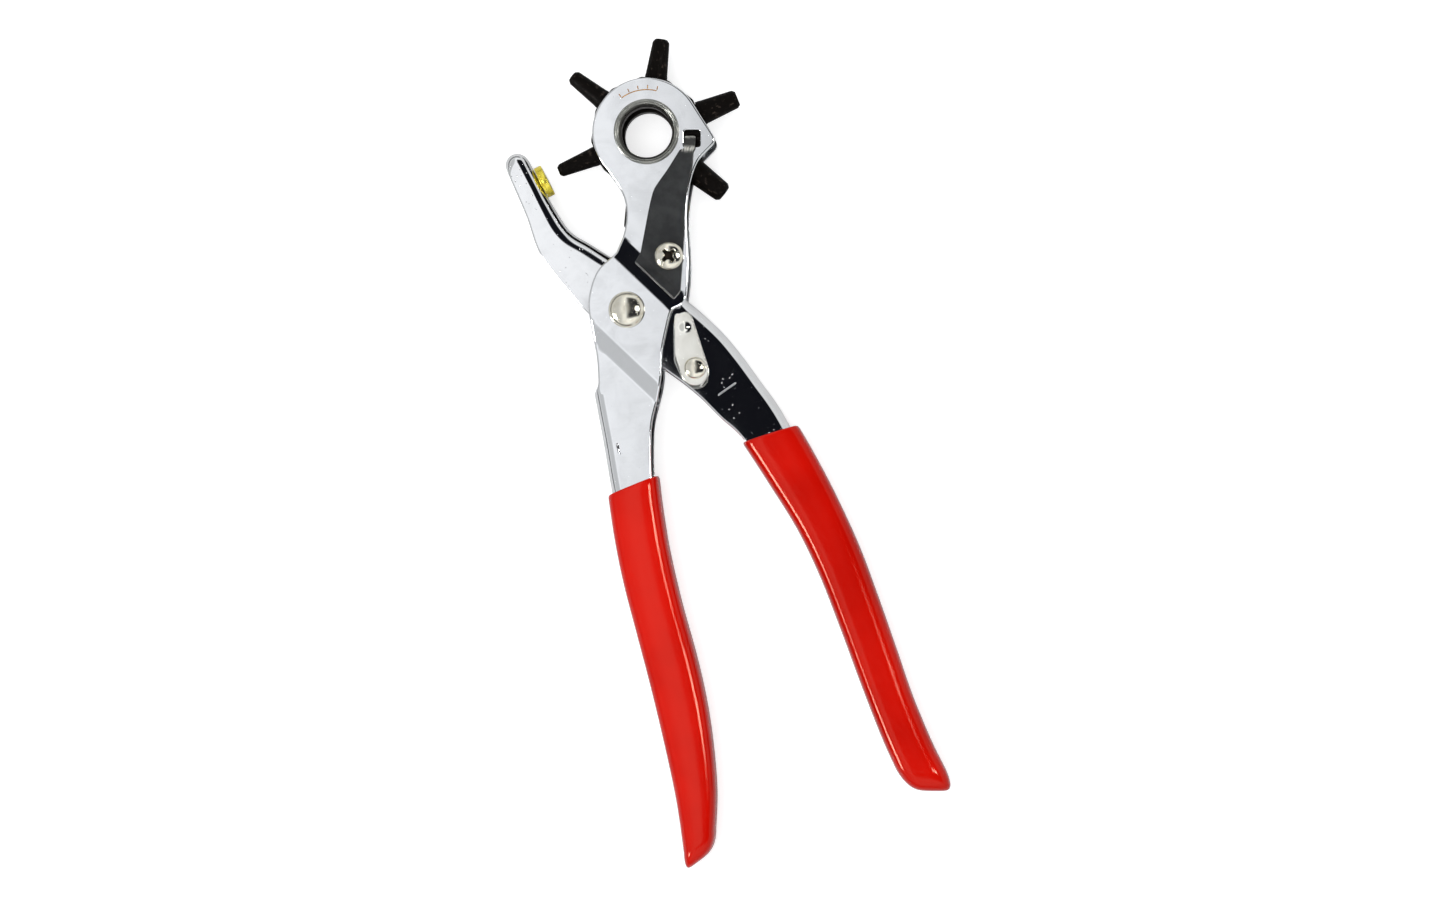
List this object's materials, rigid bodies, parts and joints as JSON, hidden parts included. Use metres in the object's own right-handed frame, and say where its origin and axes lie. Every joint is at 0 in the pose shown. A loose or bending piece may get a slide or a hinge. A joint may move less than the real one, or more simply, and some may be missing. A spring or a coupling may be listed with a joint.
{
  "type": "rotary hole punch",
  "caption": "Plier-type rotary punch for leather: a turret of punch tubes of graded bores closes on a soft anvil pad when the sprung, latching handles are squeezed.",
  "frame": {"origin": "on the main pivot's axis, in the plane that the tool lies on (the flush rear end of the pivot rivet)", "axes": "+Z along the main pivot, out of the front; +Y towards the head, -Y towards the handles; the working tube points along -X"},
  "size_m": [0.0916, 0.2217, 0.0195],
  "materials": {
    "head_chrome": "bright plated pressed steel",
    "anvil_chrome": "bright plated pressed steel",
    "rivet_nickel": "nickel plated dome",
    "screw_nickel": "nickel plated",
    "latch_nickel": "satin nickel plated",
    "plain_steel": "bare turned steel",
    "hub_steel": "turned steel, worn",
    "spring_wire": "drawn spring wire",
    "turret_black": "black oxide",
    "tube_black": "black oxide, drawn lengthwise",
    "anvil_brass": "turned brass",
    "leaf_steel": "blackened spring steel",
    "red_vinyl": "glossy moulded vinyl"
  },
  "bodies": {
    "head_side": {"head_lever": "head_chrome", "hub_bush_front": "hub_steel", "hub_bush_rear": "hub_steel", "pivot_rivet": "rivet_nickel", "pivot_sleeve": "plain_steel", "pivot_washer_front": "plain_steel", "pivot_washer_rear": "plain_steel", "opening_spring": "spring_wire", "index_screw": "screw_nickel", "index_screw_nut": "plain_steel", "head_grip": "red_vinyl"},
    "anvil_side": {"anvil_lever": "anvil_chrome", "brass_anvil": "anvil_brass", "latch_rivet": "latch_nickel", "latch_spacer": "plain_steel", "anvil_grip": "red_vinyl"},
    "turret": {"turret_wheel": "turret_black", "punch_tube_2_0": "tube_black", "punch_tube_2_5": "tube_black", "punch_tube_3_0": "tube_black", "punch_tube_3_5": "tube_black", "punch_tube_4_0": "tube_black", "punch_tube_4_5": "tube_black"},
    "latch": {"latch_plate": "latch_nickel"},
    "index_leaf": {"index_spring": "leaf_steel"}
  },
  "joints": [
    {"name": "lever_pivot", "type": "hinge", "parent": "head_side", "child": "anvil_side", "pos_m": [0, 0, 0.00825], "axis": [0, 0, 1], "range_deg": [-4.6, 14], "deforming": ["opening_spring"]},
    {"name": "turret_spin", "type": "hinge", "parent": "head_side", "child": "turret", "pos_m": [0.0233, 0.0436, 0.00825], "axis": [0, 0, 1], "continuous": true},
    {"name": "latch_swing", "type": "hinge", "parent": "anvil_side", "child": "latch", "pos_m": [0.0114, -0.022, 0.017], "axis": [0, 0, 1], "range_deg": [-140, 0]},
    {"name": "index_spring_flex", "type": "hinge", "parent": "head_side", "child": "index_leaf", "pos_m": [0.01228, 0.0056, 0.0151], "axis": [0.4147, -0.91, 0], "range_deg": [0, 1.5], "stiffness_Nm_per_rad": 0.6}
  ]
}
